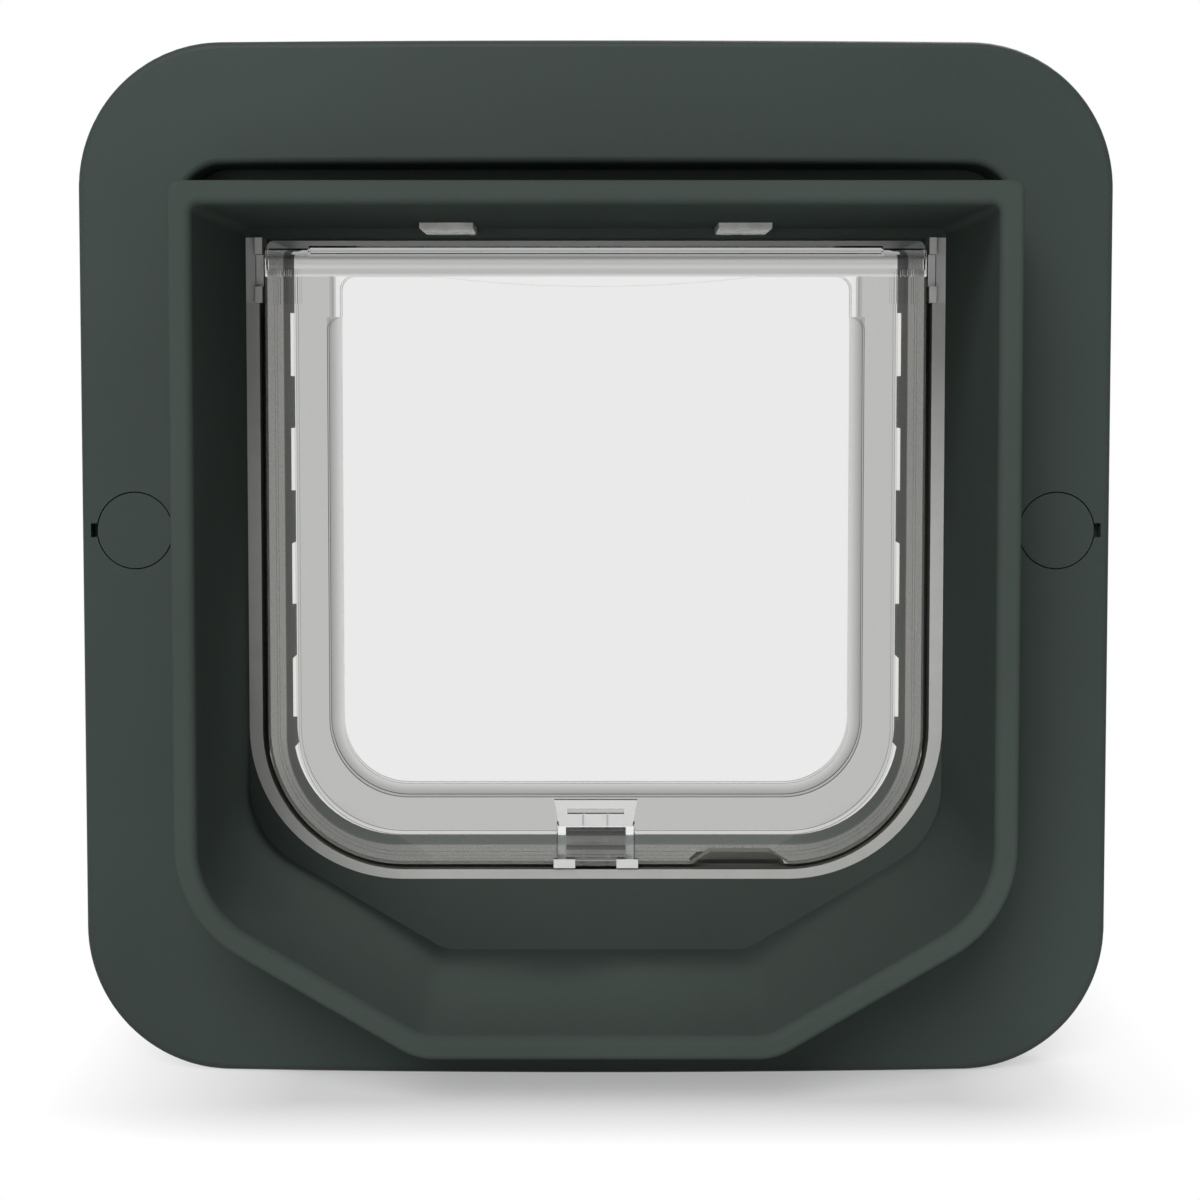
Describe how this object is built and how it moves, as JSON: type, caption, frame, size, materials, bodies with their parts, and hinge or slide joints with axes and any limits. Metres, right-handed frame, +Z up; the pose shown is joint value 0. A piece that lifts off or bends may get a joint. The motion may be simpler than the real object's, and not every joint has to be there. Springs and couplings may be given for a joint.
{
  "type": "cat flap",
  "caption": "Chip-reading cat flap: crowned outer frame, projecting tunnel with a clear flap on a top hinge, lock catch in the sill and a battery housing on the room side.",
  "frame": {"origin": "middle of the base, where both frames stand", "axes": "+X across the door, +Y from outdoors to indoors, +Z up"},
  "size_m": [0.21, 0.116, 0.21],
  "materials": {
    "anthracite": "fine satin moulding",
    "clear": "clear polished",
    "seal": "smoky clear",
    "lens": "pale satin",
    "steel": "zinc plated",
    "magnet": "sintered",
    "copper": "enamelled wire",
    "board": "solder mask",
    "cell": "printed sleeve, plain",
    "contact": "nickel plated",
    "coil_case": "plated case"
  },
  "bodies": {
    "housing": {"outer_frame": "anthracite", "screw_cap_left": "anthracite", "screw_cap_right": "anthracite", "fixing_screws": "steel", "tunnel": "anthracite", "tunnel_sleeve": "anthracite", "antenna_coil": "copper", "sensor_lens_left": "lens", "sensor_lens_right": "lens", "draught_seal": "seal", "hinge_bearing_left": "clear", "hinge_bearing_right": "clear", "sill_magnet": "magnet", "inner_housing": "anthracite", "housing_back_plate": "anthracite", "housing_screws": "steel", "tunnel_screws": "steel", "circuit_board": "board", "batteries": "cell", "battery_contacts": "contact", "solenoid": "coil_case"},
    "flap": {"flap_panel": "clear", "hinge_pin_left": "clear", "hinge_pin_right": "clear", "latch_clip": "clear", "flap_magnet": "magnet"},
    "catch": {"lock_catch": "anthracite", "catch_plunger": "steel"},
    "cover": {"battery_cover": "anthracite"},
    "button": {"learn_button": "anthracite"}
  },
  "joints": [
    {"name": "flap_swing", "type": "hinge", "parent": "housing", "child": "flap", "pos_m": [0, 0.01, 0.1688], "axis": [1, 0, 0], "range_deg": [-85, 85]},
    {"name": "catch_slide", "type": "slide", "parent": "housing", "child": "catch", "axis": [0, 0, 1], "range_m": [0, 0.006]},
    {"name": "cover_lift", "type": "slide", "parent": "housing", "child": "cover", "axis": [0, 1, 0], "range_m": [0, 0.025]},
    {"name": "button_press", "type": "slide", "parent": "housing", "child": "button", "axis": [0, -1, 0], "range_m": [0, 0.0012], "stiffness_N_per_m": 400}
  ]
}
